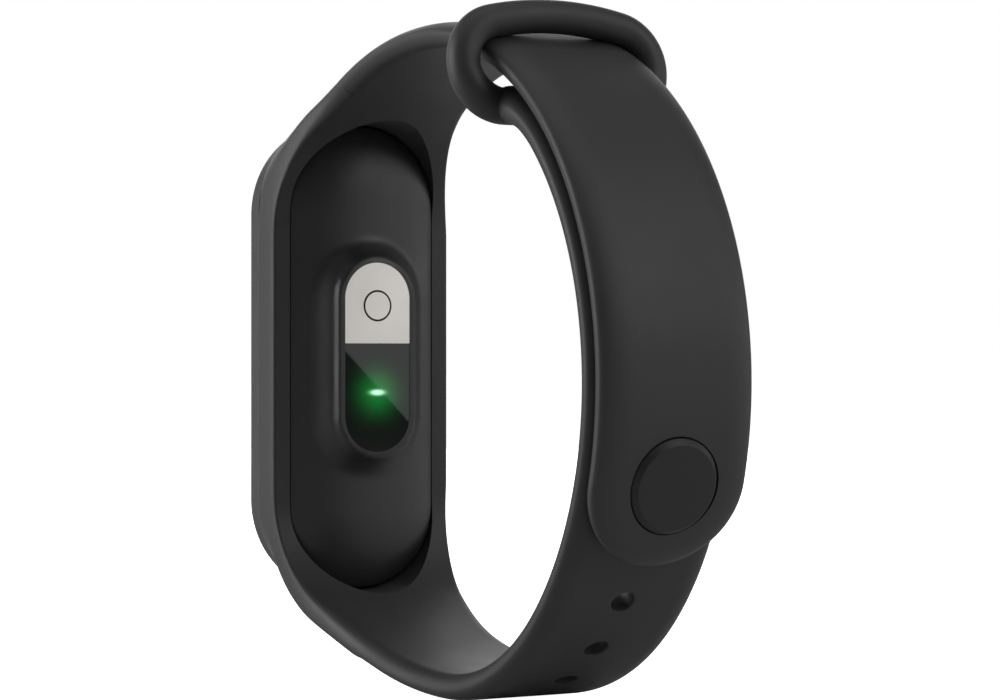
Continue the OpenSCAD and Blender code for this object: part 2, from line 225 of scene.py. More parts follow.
def polar(centre, radius, degrees):
    """The point at that radius and angle from a centre in the XZ plane."""
    a = np.radians(degrees)
    return np.stack([centre[0] + radius * np.cos(a), centre[1] + radius * np.sin(a)], -1)


HEEL = polar(CLASP, CLASP_R - HEEL_R, HEEL_TURN)
SOLE = HEEL + [0, SOLE_R - HEEL_R]
SOLE_TURN = math.degrees(math.asin((SOLE[0] - SEAT_X - CORNER_R) / (SOLE_R - CORNER_R)))
SOLE_CORNER = polar(SOLE, SOLE_R - CORNER_R, -90 - SOLE_TURN)
CROWN = np.array(CLASP) - [0, CROWN_R - UPPER_R]
CROWN_TURN = math.degrees(math.asin((CROWN[0] - SEAT_X - CORNER_R) / (CROWN_R - CORNER_R)))
CROWN_CORNER = polar(CROWN, CROWN_R - CORNER_R, 90 + CROWN_TURN)
CURL = polar(CLASP, CLASP_R - CURL_R, CURL_TURN)


def walk(stretches):
    """Points, outward normals and distance along a chain of (centre, radius, from, to, step) arcs.
    A stretch whose radius is None is a straight line between two points, facing -X."""
    points, normals = [], []
    for centre, radius, a0, a1, step in stretches:
        if radius is None:
            count = max(2, round(np.hypot(*np.subtract(a1, a0)) / step))
            t = np.linspace(0, 1, count + 1)[:, None]
            line = np.array(a0) * (1 - t) + np.array(a1) * t
            out = np.tile([-1.0, 0.0], (count + 1, 1))
        else:
            count = max(2, round(abs(math.radians(a1 - a0)) * radius / step))
            a = np.linspace(a0, a1, count + 1)
            line, out = polar(centre, radius, a), polar((0, 0), 1, a)
        skip = 1 if points else 0
        points.append(line[skip:])
        normals.append(out[skip:])
    points, normals = np.concatenate(points), np.concatenate(normals)
    gaps = np.hypot(*np.diff(points, axis=0).T)
    return points, normals, np.concatenate([[0], np.cumsum(gaps)])


print("corner centres", np.round(SOLE_CORNER, 2), np.round(CROWN_CORNER, 2), "turns", round(SOLE_TURN, 2),
      round(CROWN_TURN, 2))

# %% [markdown]
# ## The strap's cross-section
# Moulded straps have a flat inner face with tight round edges, and an outer face with long soft
# shoulders. Both are quarter ellipses of the distance to the strap's edge, so the same rule also
# closes the round end of the tail.

# %% Cross-section
ACROSS = np.sin(np.linspace(-1, 1, 61) * math.pi / 2)


def shoulder(edge_distance, reach, power=2.0):
    """0 at the edge, 1 from reach inwards, and a quarter superellipse between them. Power 2 is an
    ellipse, and higher powers keep the side flatter and the corner tighter."""
    u = 1 - np.clip(edge_distance / reach, 0, 1)
    return np.clip(1 - u ** power, 0, 1) ** (1 / power)


def strap_grid(points, normals, half_width, top, reach, roll, edge_height, power, end_run=None):
    """Rings of points round the strap. half_width, reach (outer shoulder), roll (inner shoulder),
    edge_height and power are one value a station; top(y) gives the outer height above the line for
    the (station, y) grid. end_run is how far each station lies past a round end's centre, or 0."""
    run = np.zeros(len(points)) if end_run is None else end_run
    y = half_width[:, None] * ACROSS[None, :]
    radius = np.hypot(half_width, run)
    distance = radius[:, None] - np.hypot(run[:, None], y)
    distance[:, [0, -1]] = 0
    edge = edge_height[:, None]
    outer = edge + (top(y) - edge) * shoulder(distance, reach[:, None], power[:, None])
    inner = edge - edge * shoulder(distance, roll[:, None], power[:, None])
    y = np.concatenate([y, y[:, -2:0:-1]], 1)
    height = np.concatenate([outer, inner[:, -2:0:-1]], 1)
    flat = points[:, None, :] + normals[:, None, :] * height[:, :, None]
    return np.stack([flat[:, :, 0], y, flat[:, :, 1]], -1)


print("points in one ring", 2 * len(ACROSS) - 2)

# %% [markdown]
# ## Lower strap and pocket
# On the real band one silicone moulding holds the tracker and carries the row of holes. It could be
# modelled with a subdivided cage, but its shape is simple to say in words, so it is worked out: the
# inner face follows the strap's line, and the outer face is a height above that line.

# %% Line of the lower moulding
UPPER_HALF = 7.6
LOWER_HALF = 7.35
CURL_END = 76.6

lower_line, lower_out, lower_run = walk([
    (CROWN, CROWN_R, 90 + CROWN_ROOT, 90 + CROWN_TURN, 0.35),
    (CROWN_CORNER, CORNER_R, 90 + CROWN_TURN, 180, 0.35),
    (None, None, (SEAT_X, CROWN_CORNER[1]), (SEAT_X, SOLE_CORNER[1]), 0.5),
    (SOLE_CORNER, CORNER_R, 180, 270 - SOLE_TURN, 0.35),
    (SOLE, SOLE_R, 270 - SOLE_TURN, 270, 0.4),
    (HEEL, HEEL_R, 270, 360 + HEEL_TURN, 0.4),
    (CLASP, CLASP_R, 360 + HEEL_TURN, 360 + CURL_TURN, 0.5),
    (CURL, CURL_R, 360 + CURL_TURN, 360 + CURL_END, 0.3),
])
tracker_side = len(lower_line) // 2
middle_run = np.interp(0, -lower_line[:tracker_side, 1], lower_run[:tracker_side])
from_middle = lower_run - middle_run
above = from_middle < 0
print("stations", len(lower_line), "length in mm", round(lower_run[-1], 1))

# %% [markdown]
# ## Height of the outer face
# Behind the tracker the outer face rises to the flat lip that carries the tracker's front. Past the
# tracker's round ends it falls along a straight shoulder, which meets the plain strap at its foot.
# Each surface is easy alone, so the height is the least or the most of them, with soft corners.

# %% Outer face of the pocket
LIP_X = -31.1
RIM_R = 9.85
RIM_INSET = 0.1
POD_SPINE_HALF = 14.4
LEAST_LEAN = 0.05
NO_LIMIT = 99.0
LOWEST = -9
FOOT_PAST_CROWN, FOOT_PAST_SOLE = 4, 1
SHOULDER_FROM = 20
FOOT_RUN = np.where(above, 28.0, 33.0)
FOOT_FADE = 5
LIP_BLEND, STRAP_BLEND = 0.25, 0.8


def soft_least(a, b, blend):
    """The smaller of two values, with the corner where they cross rounded over that blend."""
    h = np.clip(0.5 + 0.5 * (b - a) / blend, 0, 1)
    return b * (1 - h) + a * h - blend * h * (1 - h)


def pocket_top(y):
    """Outer height over the (station, y) grid. A height is how far a station's normal runs before it
    meets the lip's plane, or the straight line from the lip's round end to the shoulder's foot. The
    least of those two is faded out past the foot, and the plain strap is never undercut."""
    nx, nz = lower_out[:, :1], lower_out[:, 1:]
    px, pz = lower_line[:, :1], lower_line[:, 1:]
    to_lip = np.where(nx < -LEAST_LEAN, (LIP_X - px) / np.minimum(nx, -LEAST_LEAN), NO_LIMIT)
    rise = np.sqrt(np.clip((RIM_R - RIM_INSET) ** 2 - y * y, 0, None))
    side = np.where(above, 1.0, -1.0)[:, None]
    end_z = side * (POD_SPINE_HALF + rise)
    foot_up = polar(CROWN, CROWN_R + THICK, 90 + CROWN_ROOT + FOOT_PAST_CROWN)
    foot_down = polar(SOLE, SOLE_R + THICK, 270 - SOLE_ROOT + FOOT_PAST_SOLE)
    foot = np.where(above[:, None], foot_up, foot_down)
    ex, ez = foot[:, :1] - LIP_X, foot[:, 1:] - end_z
    cross = nx * ez - nz * ex
    cross = np.where(abs(cross) < 1e-6, 1e-6, cross)
    to_shoulder = ((LIP_X - px) * ez - (end_z - pz) * ex) / cross
    behind = (to_shoulder < -1) & (abs(from_middle)[:, None] < SHOULDER_FROM)
    to_shoulder = np.where(behind, NO_LIMIT, to_shoulder)
    raised = soft_least(to_lip, np.clip(to_shoulder, LOWEST, NO_LIMIT), LIP_BLEND)
    raised = raised * (1 - smooth_step((abs(from_middle) - FOOT_RUN) / FOOT_FADE))[:, None]
    return -soft_least(-THICK * np.ones_like(y), -raised, STRAP_BLEND)


middle_heights = pocket_top(np.zeros((len(above), 1)))
print("outer height from", round(middle_heights.min(), 2), "to", round(middle_heights.max(), 2), "mm")

# %% [markdown]
# ## Widths and edges along the strap
# Round the tracker the moulding is broad with tight corners, and away from it narrow with soft ones.
# One value, narrowing, goes from 0 to 1 between the two, and every width and edge follows it.

# %% Widths and edges
UPPER_REACH, UPPER_EDGE = 3.0, 1.35
POCKET_REACH, REACH_GROWTH = 0.45, 1.6
POCKET_EDGE, EDGE_DROP = 1.6, 0.15
POCKET_ROLL, ROLL = 0.35, 1.5
POCKET_POWER, STRAP_POWER = 4.0, 2.0
ROLL_FROM, ROLL_RUN = 20, 14
NARROW_FROM = 12
NARROW_RUN = np.where(above, 17, 26)

narrowing = smooth_step((abs(from_middle) - NARROW_FROM) / NARROW_RUN)
base_half = np.where(above, UPPER_HALF, LOWER_HALF)
lower_half = base_half + (RIM_R - base_half) * (1 - narrowing)
lower_reach = POCKET_REACH + np.where(above, UPPER_REACH - POCKET_REACH, REACH_GROWTH) * narrowing
lower_edge = POCKET_EDGE - np.where(above, POCKET_EDGE - UPPER_EDGE, EDGE_DROP) * narrowing
lower_roll = POCKET_ROLL + (ROLL - POCKET_ROLL) * smooth_step((abs(from_middle) - ROLL_FROM) / ROLL_RUN)
lower_power = POCKET_POWER + (STRAP_POWER - POCKET_POWER) * narrowing
print("half width from", round(lower_half.max(), 2), "to", round(lower_half.min(), 2), "mm")

# %% [markdown]
# The strap's end is a little thicker on both faces where it runs into the keeper loop, so the two
# look like one moulding.

# %% Pocket and lower strap surface
SWELL, SWELL_RUN = 0.3, 5.0
end_swell = SWELL * smooth_step((lower_run - lower_run[-1] + SWELL_RUN) / SWELL_RUN)[:, None]
lower_skin = tube_piece("strap_lower_skin", strap_grid(
    lower_line - lower_out * end_swell, lower_out, lower_half, lambda y: pocket_top(y) + 2 * end_swell,
    lower_reach, lower_roll, lower_edge, lower_power))
print("lower skin points", len(lower_skin.data.vertices))

# %% [markdown]
# ## Cutting the pocket and the holes
# The pocket is cut straight through by a capsule-shaped punch, and the holes by round pins that
# flare at the outer face, as a mould's pins do. The punch is an outline carried along a line, and a
# pin is a profile turned round one, so both are tubes like the strap itself.

# %% Punch and turned shapes
PHASE = 0.03


def capsule_outline(radius, spine_half, count=47, side=36):
    """Points (y, z) round a capsule: two half circles of that radius joined by straight sides. The
    sides have points too, so that a surface spun from the outline stays even along them."""
    a = np.radians(np.linspace(0, 180, count + 1))
    top = np.stack([radius * np.cos(a), spine_half + radius * np.sin(a)], 1)
    z = np.linspace(spine_half, -spine_half, side + 2)[1:-1]
    left = np.stack([np.full(side, -radius), z], 1)
    return np.concatenate([top, left, -top, -left])


def capsule_prism(name, radius, spine_half, x0, x1):
    """A capsule outline carried along X."""
    outline = capsule_outline(radius, spine_half)
    grid = np.stack([np.column_stack([np.full(len(outline), x), outline]) for x in (x0, x1)])
    return tube_piece(name, grid)


def turned(name, profile, origin, axis, count=64):
    """A (height, radius) profile turned round an axis through origin, in millimetres: each point is
    the height along the axis plus the radius times a spoke. The small phase keeps the spokes off the
    strap's middle line, where a cut through exactly matching points can fail."""
    axis = np.asarray(axis, float) / np.linalg.norm(axis)
    side = np.array([0.0, 1.0, 0.0])
    third = np.cross(axis, side)
    a = np.linspace(0, 2 * math.pi, count, endpoint=False) + PHASE
    height, radius = np.asarray(profile, float).T
    spoke = np.cos(a)[:, None] * side + np.sin(a)[:, None] * third
    grid = (np.asarray(origin) + height[:, None, None] * axis
            + radius[:, None, None] * spoke[None])
    return tube_piece(name, grid)


print("points in the punch's outline", len(capsule_outline(1, 1)))

# %% [markdown]
# The holes are one pitch apart along the middle of the strap's thickness, counted from the hole that
# holds the stud. Past the corner where the two arcs meet, the angle for one pitch changes with the
# radius.

# %% Strap holes
FLARE = 0.15
HOLE_R, STUD_HOLE_R = 1.1, 1.6
FIRST_HOLE, LAST_HOLE = -4, 5
OVERRUN = 1.5
OPENING_R, OPENING_SPINE_HALF = 8.0, 15.4
PUNCH_END = -15.5
STUD_TURN = -15.4
HOLE_PITCH = 5.95
MIDDLE_R, HEEL_MIDDLE_R = CLASP_R + THICK / 2, HEEL_R + THICK / 2


def hole_axis(k):
    """Foot and direction of hole k, counted along the strap from the stud's hole."""
    turn = STUD_TURN - math.degrees(k * HOLE_PITCH / MIDDLE_R)
    centre, radius = CLASP, CLASP_R
    if turn < HEEL_TURN:
        turn = HEEL_TURN + (turn - HEEL_TURN) * MIDDLE_R / HEEL_MIDDLE_R
        centre, radius = HEEL, HEEL_R
    foot, out = polar(centre, radius, turn), polar((0, 0), 1, turn)
    return (foot[0], 0, foot[1]), (out[0], 0, out[1])


def hole_pin(k):
    """A pin that widens over a quarter circle at the strap's outer face. The stud stretches hole 0."""
    radius = STUD_HOLE_R if k == 0 else HOLE_R
    flare = [(THICK + FLARE * (math.sin(a) - 1), radius + FLARE * (1 - math.cos(a)))
             for a in np.radians(np.linspace(0, 90, 6))]
    profile = [(-OVERRUN, radius)] + flare + [(THICK + OVERRUN, radius + FLARE)]
    return turned(f"pin_{k}", profile, *hole_axis(k), count=48)


punch = capsule_prism("punch", OPENING_R, OPENING_SPINE_HALF, LIP_X - OVERRUN, PUNCH_END)
carve(lower_skin, punch, *[hole_pin(k) for k in range(FIRST_HOLE, LAST_HOLE + 1)])
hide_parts("pocket_frame", "lower_strap")
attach(lower_skin, "band")
print("lower skin after cutting", len(lower_skin.data.polygons), "faces")

# %% [markdown]
# ## Upper strap and tail
# The upper strap runs over the lower one and ends in a half-round tail with the stud in it. The
# same cross-section serves: past the stud's centre each station is a chord of the round end, and
# the rounding is measured from the end's edge. The tail lifts off with the stud.

# %% Upper strap surface
end_turns = np.radians(np.linspace(90, 0, 26))
tip_run = UPPER_HALF * np.sin(end_turns)
tip_angles = STUD_TURN - np.degrees(tip_run / (UPPER_R + THICK / 2))
body_line, body_out, _ = walk([
    (CLASP, UPPER_R, STUD_TURN, 90, 0.5),
    (CROWN, CROWN_R, 90, 90 + CROWN_ROOT, 0.5),
])
upper_line = np.concatenate([polar(CLASP, UPPER_R, tip_angles), body_line[1:]])
upper_out = np.concatenate([polar((0, 0), 1, tip_angles), body_out[1:]])
past_stud = np.concatenate([tip_run, np.zeros(len(body_line) - 1)])
upper_half = np.sqrt(np.clip(UPPER_HALF ** 2 - past_stud ** 2, 0, None))
even = np.ones(len(upper_line))
upper_grid = strap_grid(upper_line, upper_out, upper_half, lambda y: THICK * np.ones_like(y),
                        UPPER_REACH * even, ROLL * even, UPPER_EDGE * even, STRAP_POWER * even, past_stud)
upper_skin = tube_piece("strap_upper_skin", upper_grid)
print("upper skin points", len(upper_skin.data.vertices))

# %% Stud seat and neck hole
stud_out = polar((0, 0), 1, STUD_TURN)
stud_axis = (stud_out[0], 0, stud_out[1])
clasp_point = (CLASP[0], 0, CLASP[1])
SEAT_FLOOR, SEAT_GAP = 1.1, 0.12
CAP_BASE = UPPER_R + SEAT_FLOOR
CAP_R = 4.2
SEAT_R, NECK_HOLE_R = CAP_R + SEAT_GAP, 1.02
seat = [(CAP_BASE, SEAT_R), (CAP_BASE + 4, SEAT_R)]
neck = [(UPPER_R - 1, NECK_HOLE_R), (CAP_BASE + 1, NECK_HOLE_R)]
carve(upper_skin, turned("cap_seat", seat, clasp_point, stud_axis, 96),
      turned("neck_hole", neck, clasp_point, stud_axis, 48))
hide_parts("upper_strap", "strap_tail")
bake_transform(upper_skin)
print("upper skin faces", len(upper_skin.data.polygons))

# %% [markdown]
# ## Keeper loop
# The loop keeps the upper strap close to the lower one. It is a round bar bent to a flat ring, with
# a straight foot, two bends and a slightly arched outer side. A curve with a round bevel could make
# it, but a circle carried along a worked-out line lets the bar swell where it grows out of the strap.

# %% Keeper loop surface
LOOP_FOOT = (12.44, 22.17)
LOOP_LEAN = 8.2
BAR_R = 1.5
BEND_R = 3.87
LOOP_HALF = 5.8
ARCH_R = 29.9
FOOT_SWELL = 0.09
ARCH_TURN = math.degrees(math.asin(LOOP_HALF / (ARCH_R - BEND_R)))


def keeper_grid(section=40, step=0.3):
    """A circle carried round the loop's line: a straight foot, two bends and an arched top, each
    tangent to the next. The bar is a little thicker at its foot."""
    def arc(centre, radius, a0, a1):
        count = round(abs(math.radians(a1 - a0)) * radius / step)
        a = np.linspace(a0, a1, count, endpoint=False)
        return polar(centre, radius, a), polar((0, 0), 1, a)
    foot_y = np.linspace(-LOOP_HALF, LOOP_HALF, round(2 * LOOP_HALF / step), endpoint=False)
    foot = np.stack([foot_y, np.zeros_like(foot_y)], 1), np.tile([0.0, -1.0], (len(foot_y), 1))
    arch_centre = (0, BEND_R - (ARCH_R - BEND_R) * math.cos(math.radians(ARCH_TURN)))
    stretches = [foot, arc((LOOP_HALF, BEND_R), BEND_R, -90, 90 - ARCH_TURN),
                 arc(arch_centre, ARCH_R, 90 - ARCH_TURN, 90 + ARCH_TURN),
                 arc((-LOOP_HALF, BEND_R), BEND_R, 90 + ARCH_TURN, 270)]
    line, out = (np.concatenate([stretch[i] for stretch in stretches]) for i in (0, 1))
    v = np.linspace(0, 2 * math.pi, section, endpoint=False)
    thick = BAR_R * (1 + FOOT_SWELL * smooth_step(1 - line[:, 1] / BEND_R))[:, None]
    across = line[:, :1] + out[:, :1] * thick * np.cos(v)
    rise = line[:, 1:] + out[:, 1:] * thick * np.cos(v)
    along = thick * np.sin(v)
    up, side = polar((0, 0), 1, 90 + LOOP_LEAN), polar((0, 0), 1, LOOP_LEAN)
    return np.stack([LOOP_FOOT[0] + up[0] * rise + side[0] * along, across,
                     LOOP_FOOT[1] + up[1] * rise + side[1] * along], -1)


keeper_skin = ring_piece("keeper_loop_skin", keeper_grid())
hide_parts("keeper_loop")
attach(keeper_skin, "band")
print("keeper faces", len(keeper_skin.data.polygons))

# %% [markdown]
# ## Stud cap
# A hard disc like a shirt stud's: a nearly flat face, a bevel with softened corners, and a straight
# side that drops into its seat in the tail. Real ones are turned or moulded round one axis, so half
# of the outline is drawn and turned round.

# %% Stud cap surface
CAP_RISE = 0.35
CAP_TOP = UPPER_R + THICK + CAP_RISE
CAP_BEVEL, CAP_CORNER, CAP_DISH = 0.5, 0.12, 0.05
CENTRE_R = 0.05


def cap_profile():
    """(height, radius) from the base, up the side, over the bevel with its two round corners, and in
    to the centre. Each corner is an eighth of a circle, and the face rises as a parabola."""
    a = np.radians(np.linspace(0, 45, 5))
    ease, reach = CAP_CORNER * (1 - np.cos(a)), CAP_CORNER * np.sin(a)
    low = np.stack([CAP_TOP - CAP_BEVEL + reach, CAP_R - ease], 1)
    high = np.stack([CAP_TOP - ease, CAP_R - CAP_BEVEL + reach], 1)[::-1]
    r = np.linspace(CAP_R - CAP_BEVEL, CENTRE_R, 12)
    dish = CAP_DISH * (1 - (r / (CAP_R - CAP_BEVEL)) ** 2)
    face = np.stack([CAP_TOP + dish, r], 1)[1:]
    return np.concatenate([[(CAP_BASE, CENTRE_R), (CAP_BASE, CAP_R)], low, high, face])


cap_skin = turned("stud_cap_skin", cap_profile(), clasp_point, stud_axis, 128)
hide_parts("stud_cap")
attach(cap_skin, "tail")
print("cap faces", len(cap_skin.data.polygons))

# %% [markdown]
# ## The tracker's back
# The part that touches the wrist is a shallow moulded dome with a raised capsule round the sensor
# window. Its height is a formula of the place on the back, which gives softer slopes than bevels on
# a solid would.

# %% Height of the tracker's back
SHELL_FRONT, SHELL_BACK, SHELL_EDGE = -31.15, -25.2, -27.0
SHELL_R, SHELL_SPINE = 7.9, 15.25
CAVITY_R, CAVITY_BACK = 6.95, -26.3
WINDOW_R, WINDOW_SPINE = 3.6, 5.85
WINDOW_FACE, WINDOW_LEDGE = -23.5, -24.0
BOSS_R = 4.15
DOME_POWER, DOME_EASE = 2.4, 0.85
RIM_RUN, RIM_SHARE = 0.4, 0.3
FILLET_RUN, FILLET_POWER = 2.4, 1.4


def spine_distance(y, z, spine_half):
    """Distance from a point to the straight middle line of a capsule."""
    return np.hypot(y, np.maximum(np.abs(z) - spine_half, 0))


def back_height(y, z):
    """X of the shell's outer face: a dome that falls as a superellipse, and a boss round
    the window with a small round rim and then a long fillet."""
    q = np.clip(spine_distance(y, z, SHELL_SPINE) / SHELL_R, 0, 1)
    dome = SHELL_EDGE + (SHELL_BACK - SHELL_EDGE) * (1 - q ** DOME_POWER) ** DOME_EASE
    past = spine_distance(y, z, WINDOW_SPINE) - BOSS_R
    rim = 1 - smooth_step(past / RIM_RUN)
    fillet = (1 - smooth_step(past / FILLET_RUN)) ** FILLET_POWER
    return dome + (WINDOW_FACE - dome) * (RIM_SHARE * rim + (1 - RIM_SHARE) * fillet)


print("height at the middle", round(float(back_height(0.0, 0.0)), 2), "and on the dome",
      round(float(back_height(0.0, 14.0)), 2))

# %% [markdown]
# Lines run from the window's outline out to the shell's outline, over its edge, down the side, and
# back up inside the hollow. Placed side by side round the window they close into one ring, which is
# the whole shell with its wall.

# %% Back shell surface
LEDGE_WIDE = 0.55
FLOOR_INSET = 0.95
EDGE_DEEP, FLOOR_DEEP = 0.6, 1.2


def shell_grid(count=65):
    """Closed profile lines (columns) for each place round the outline (rows). The dome's points are
    a mix of the window's outline and the outer one, closer together towards the shell's edge."""
    def loop(radius, spine):
        return capsule_outline(radius, spine, count)
    window, outer = loop(WINDOW_R, WINDOW_SPINE), loop(SHELL_R, SHELL_SPINE)
    hole = loop(WINDOW_R - LEDGE_WIDE, WINDOW_SPINE)
    cavity, floor_line = (loop(r, SHELL_SPINE) for r in (CAVITY_R, CAVITY_R - FLOOR_INSET))
    columns = [np.column_stack([np.full(len(window), WINDOW_LEDGE), window])]
    for k in 1 - (1 - np.linspace(0, 1, 72)) ** 2:
        flat = window * (1 - k) + outer * k
        columns.append(np.column_stack([back_height(flat[:, 0], flat[:, 1]), flat]))
    for x, outline in ((SHELL_EDGE - EDGE_DEEP, outer), (SHELL_FRONT, outer), (SHELL_FRONT, cavity),
                       (CAVITY_BACK - FLOOR_DEEP, cavity), (CAVITY_BACK, floor_line), (CAVITY_BACK, hole),
                       (WINDOW_LEDGE, hole)):
        columns.append(np.column_stack([np.full(len(outline), x), outline]))
    return np.stack(columns, 1)


back_skin = ring_piece("back_shell_skin", shell_grid())
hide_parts("back_shell")
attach(back_skin, "pod")
SHELL_SHARP = 70
back_skin.data.set_sharp_from_angle(angle=math.radians(SHELL_SHARP))
print("back shell faces", len(back_skin.data.polygons))

# %% [markdown]
# ## Shared surface effects
# Moulded surfaces are never perfectly even. One node group makes the unevenness of every material: a
# fine grain for bump, and a slow cloudiness that varies the gloss from place to place. Built once,
# it can be tuned for each finish by its two scales.

# %% Grain group
def new_group(name, inputs, outputs):
    """An empty shader group with float sockets, and its input and output nodes."""
    group = bpy.data.node_groups.new(name, "ShaderNodeTree")
    for label, value in inputs:
        socket = group.interface.new_socket(label, in_out="INPUT", socket_type="NodeSocketFloat")
        socket.default_value = value
    for label in outputs:
        group.interface.new_socket(label, in_out="OUTPUT", socket_type="NodeSocketFloat")
    return group, group.nodes.new("NodeGroupInput"), group.nodes.new("NodeGroupOutput")


def grain_group():
    """Grain: object-space noise at a fine scale for height, and at a coarse one for cloudiness."""
    group, source, sink = new_group("grain", [("Fine", 9000.0), ("Coarse", 160.0)], ["Height", "Cloud"])
    place = group.nodes.new("ShaderNodeTexCoord")
    for label, detail in (("Fine", 3.0), ("Coarse", 4.0)):
        noise = group.nodes.new("ShaderNodeTexNoise")
        noise.inputs["Detail"].default_value = detail
        group.links.new(place.outputs["Object"], noise.inputs["Vector"])
        group.links.new(source.outputs[label], noise.inputs["Scale"])
        group.links.new(noise.outputs["Fac"], sink.inputs["Height" if label == "Fine" else "Cloud"])
    return group


GRAIN = grain_group()
print("grain puts out", [x.name for x in GRAIN.interface.items_tree if x.in_out == "OUTPUT"])

# %% [markdown]
# ## Light of the lamps under the window
# Green lamps shine through the dark window. Light from small lamps behind tinted glass spreads in
# the glass, so it is drawn as emission on the window: a bright wide dash with a soft halo round it.

# %% Glow group
CORE_SIZE = (1.0, 0.00062, 0.00022)
HALO_SIZE = (1.0, 0.0019, 0.0019)


def glow_group():
    """Glow: brightness that falls with distance from the lamps, as a small core and a wide halo.
    Each is e to the power of minus the squared distance over a squared size."""
    group, _, sink = new_group("lamp_glow", [], ["Core", "Halo"])
    place = group.nodes.new("ShaderNodeTexCoord")
    low, high = (Vector(c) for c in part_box("green_leds"))
    for label, size in (("Core", CORE_SIZE), ("Halo", HALO_SIZE)):
        shift = group.nodes.new("ShaderNodeMapping")
        shift.vector_type = "TEXTURE"
        shift.inputs["Location"].default_value = (low + high) / 2
        shift.inputs["Scale"].default_value = size
        length = group.nodes.new("ShaderNodeVectorMath")
        length.operation = "DOT_PRODUCT"
        group.links.new(place.outputs["Object"], shift.inputs["Vector"])
        group.links.new(shift.outputs["Vector"], length.inputs[0])
        group.links.new(shift.outputs["Vector"], length.inputs[1])
        fall = group.nodes.new("ShaderNodeMath")
        fall.operation = "MULTIPLY"
        fall.inputs[1].default_value = -1.0
        power = group.nodes.new("ShaderNodeMath")
        power.operation = "EXPONENT"
        group.links.new(length.outputs["Value"], fall.inputs[0])
        group.links.new(fall.outputs["Value"], power.inputs[0])
        group.links.new(power.outputs["Value"], sink.inputs[label])
    return group


GLOW = glow_group()
print("groups", [g.name for g in bpy.data.node_groups])

# %% [markdown]
# ## Finishes
# One function makes a finish: a Principled shader whose roughness is pushed up and down by the
# cloudiness and whose normal is roughened by the grain. Each material gives it its own values.

# %% Finish builder
GRAIN_DEEP = 0.00002


def finish(name, color, rough, spread=0.06, bump=0.15, fine=9000.0, coarse=160.0, metal=0.0, coat=0.0,
           specular=0.5, tint=None):
    """A Principled material with grain. spread is how far the roughness wanders, and bump how strong
    the grain is. tint is a second colour that the cloudiness mixes in."""
    material = bpy.data.materials.new(name)
    material.use_nodes = True
    tree = material.node_tree
    shader = tree.nodes["Principled BSDF"]
    shader.inputs["Metallic"].default_value = metal
    shader.inputs["Coat Weight"].default_value = coat
    shader.inputs["Specular IOR Level"].default_value = specular
    grain = tree.nodes.new("ShaderNodeGroup")
    grain.node_tree = GRAIN
    grain.inputs["Fine"].default_value = fine
    grain.inputs["Coarse"].default_value = coarse
    ranged = tree.nodes.new("ShaderNodeMapRange")
    ranged.inputs["From Min"].default_value = 0.3
    ranged.inputs["From Max"].default_value = 0.7
    ranged.inputs["To Min"].default_value = rough - spread
    ranged.inputs["To Max"].default_value = rough + spread
    bumped = tree.nodes.new("ShaderNodeBump")
    bumped.inputs["Strength"].default_value = bump
    bumped.inputs["Distance"].default_value = GRAIN_DEEP
    mixed = tree.nodes.new("ShaderNodeMix")
    mixed.data_type = "RGBA"
    mixed.inputs["A"].default_value = (*color, 1)
    mixed.inputs["B"].default_value = (*(tint or [min(1, c * 1.35 + 0.002) for c in color]), 1)
    tree.links.new(grain.outputs["Cloud"], ranged.inputs["Value"])
    tree.links.new(ranged.outputs["Result"], shader.inputs["Roughness"])
    tree.links.new(grain.outputs["Height"], bumped.inputs["Height"])
    tree.links.new(bumped.outputs["Normal"], shader.inputs["Normal"])
    tree.links.new(grain.outputs["Cloud"], mixed.inputs["Factor"])
    tree.links.new(mixed.outputs["Result"], shader.inputs["Base Color"])
    return material


print("grain depth in mm", GRAIN_DEEP / MM)

# %% Glow and ring line
CORE_COLOR, HALO_COLOR = (0.45, 1.0, 0.55), (0.02, 0.75, 0.12)
RING_COLOR = (0.03, 0.03, 0.03)


def add_glow(material, core, halo):
    """Adds the lamps' light to a finish: emission that is the core's colour times its falling
    brightness and strength, plus the halo's."""
    tree = material.node_tree
    shader = tree.nodes["Principled BSDF"]
    glow = tree.nodes.new("ShaderNodeGroup")
    glow.node_tree = GLOW
    parts = []
    for label, strength, shade in (("Core", core, CORE_COLOR), ("Halo", halo, HALO_COLOR)):
        scaled = tree.nodes.new("ShaderNodeMix")
        scaled.data_type = "RGBA"
        scaled.clamp_factor = True
        scaled.inputs["A"].default_value = (0, 0, 0, 1)
        scaled.inputs["B"].default_value = (*[c * strength for c in shade], 1)
        tree.links.new(glow.outputs[label], scaled.inputs["Factor"])
        parts.append(scaled)
    added = tree.nodes.new("ShaderNodeMix")
    added.data_type = "RGBA"
    added.blend_type = "ADD"
    added.inputs["Factor"].default_value = 1.0
    tree.links.new(parts[0].outputs["Result"], added.inputs["A"])
    tree.links.new(parts[1].outputs["Result"], added.inputs["B"])
    tree.links.new(added.outputs["Result"], shader.inputs["Emission Color"])
    shader.inputs["Emission Strength"].default_value = 1.0
    return material


